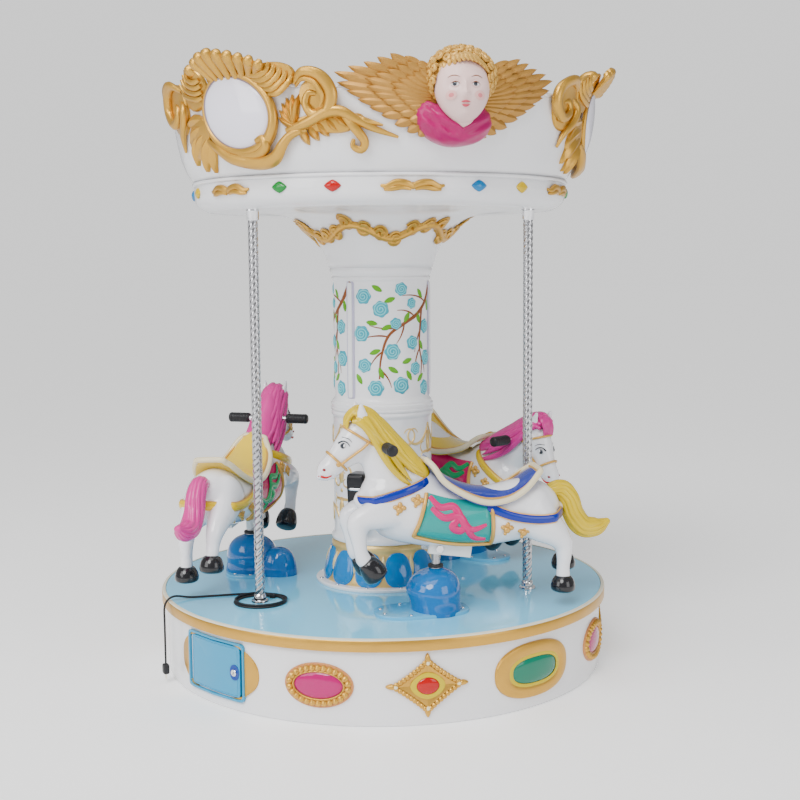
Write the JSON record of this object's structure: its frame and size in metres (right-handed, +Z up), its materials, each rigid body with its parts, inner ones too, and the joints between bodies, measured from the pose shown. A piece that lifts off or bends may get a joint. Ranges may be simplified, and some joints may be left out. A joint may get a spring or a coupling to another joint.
{
  "type": "children's carousel ride with rocking horses",
  "caption": "Small coin-operated carousel: drum base, turning deck and column, flared canopy with cast reliefs, twisted poles and rocking horses.",
  "frame": {"origin": "on the turning axis, level with the underside of the base", "axes": "+Z up along the turning axis; -Y towards the front as pictured; +X to the right seen from the front"},
  "size_m": [1.514, 1.514, 1.9594],
  "materials": {
    "white_shell": "glossy white gelcoat",
    "horse_shell": "glossy white paint with coloured mane, tail and tack",
    "bracket_steel": "satin white paint",
    "saddle_blue": "glossy blue paint with white and gold edges",
    "saddle_yellow": "glossy yellow paint with orange edges",
    "grip_black": "matte black",
    "gold_paint": "brushed gold paint over relief",
    "lamp_white": "white frosted lamp cover",
    "deck_blue": "very glossy light blue gelcoat",
    "fairing_blue": "glossy mid blue gelcoat",
    "door_blue": "gloss blue paint",
    "chrome": "bright chrome",
    "base_steel": "grey primer",
    "cord_black": "matte black"
  },
  "bodies": {
    "base": {"wall_door_segment": "white_shell", "wall_right_segment": "white_shell", "wall_left_segment": "white_shell", "base_floor": "base_steel", "bearing_post": "base_steel", "coin_box_liner": "base_steel", "door_frame": "door_blue"},
    "coin_door": {"coin_door_panel": "door_blue", "door_lock": "chrome"},
    "turntable": {"deck": "deck_blue", "rim_band": "gold_paint", "column_flange": "white_shell", "column_foot": "fairing_blue", "column_lower": "white_shell", "column_shaft": "white_shell", "control_box": "grip_black", "canopy_bowl": "white_shell", "canopy_roof": "white_shell", "crown_panel_1": "white_shell", "lamp_lens_1": "lamp_white", "lamp_frame_1": "gold_paint", "pole_1": "chrome", "fairing_1": "fairing_blue", "rod_1": "chrome", "crown_panel_2": "white_shell", "lamp_lens_2": "lamp_white", "lamp_frame_2": "gold_paint", "pole_2": "chrome", "fairing_2": "fairing_blue", "rod_2": "chrome", "crown_panel_3": "white_shell", "lamp_lens_3": "lamp_white", "lamp_frame_3": "gold_paint", "pole_3": "chrome", "fairing_3": "fairing_blue", "rod_3": "chrome", "cherub_1": "gold_paint", "cherub_2": "gold_paint", "cord_coil": "cord_black", "cord_tube": "cord_black", "cord_plug": "cord_black", "cord_gland": "cord_black"},
    "horse_1": {"horse_1_body": "horse_shell", "horse_1_saddle": "saddle_blue", "horse_1_handlebar": "grip_black", "horse_1_bracket": "bracket_steel"},
    "horse_2": {"horse_2_body": "horse_shell", "horse_2_saddle": "saddle_yellow", "horse_2_handlebar": "grip_black", "horse_2_bracket": "bracket_steel"},
    "horse_3": {"horse_3_body": "horse_shell", "horse_3_saddle": "saddle_yellow", "horse_3_handlebar": "grip_black", "horse_3_bracket": "bracket_steel"}
  },
  "joints": [
    {"name": "turntable_spin", "type": "hinge", "parent": "base", "child": "turntable", "pos_m": [0, 0, 0.26], "axis": [0, 0, 1], "continuous": true},
    {"name": "coin_door_hinge", "type": "hinge", "parent": "base", "child": "coin_door", "pos_m": [-0.60148, -0.4362, 0.124], "axis": [0, 0, -1], "range_deg": [0, 110]},
    {"name": "horse_1_rock", "type": "hinge", "parent": "turntable", "child": "horse_1", "pos_m": [0.16246, -0.44635, 0.473], "axis": [-0.2419, 0.9703, 0], "range_deg": [-21, 3]},
    {"name": "horse_2_rock", "type": "hinge", "parent": "turntable", "child": "horse_2", "pos_m": [-0.46627, 0.09063, 0.473], "axis": [0.9563, -0.2924, 0], "range_deg": [-19, 5]},
    {"name": "horse_3_rock", "type": "hinge", "parent": "turntable", "child": "horse_3", "pos_m": [0.30532, 0.36387, 0.473], "axis": [-0.7193, -0.6947, 0], "range_deg": [-2, 22]}
  ]
}
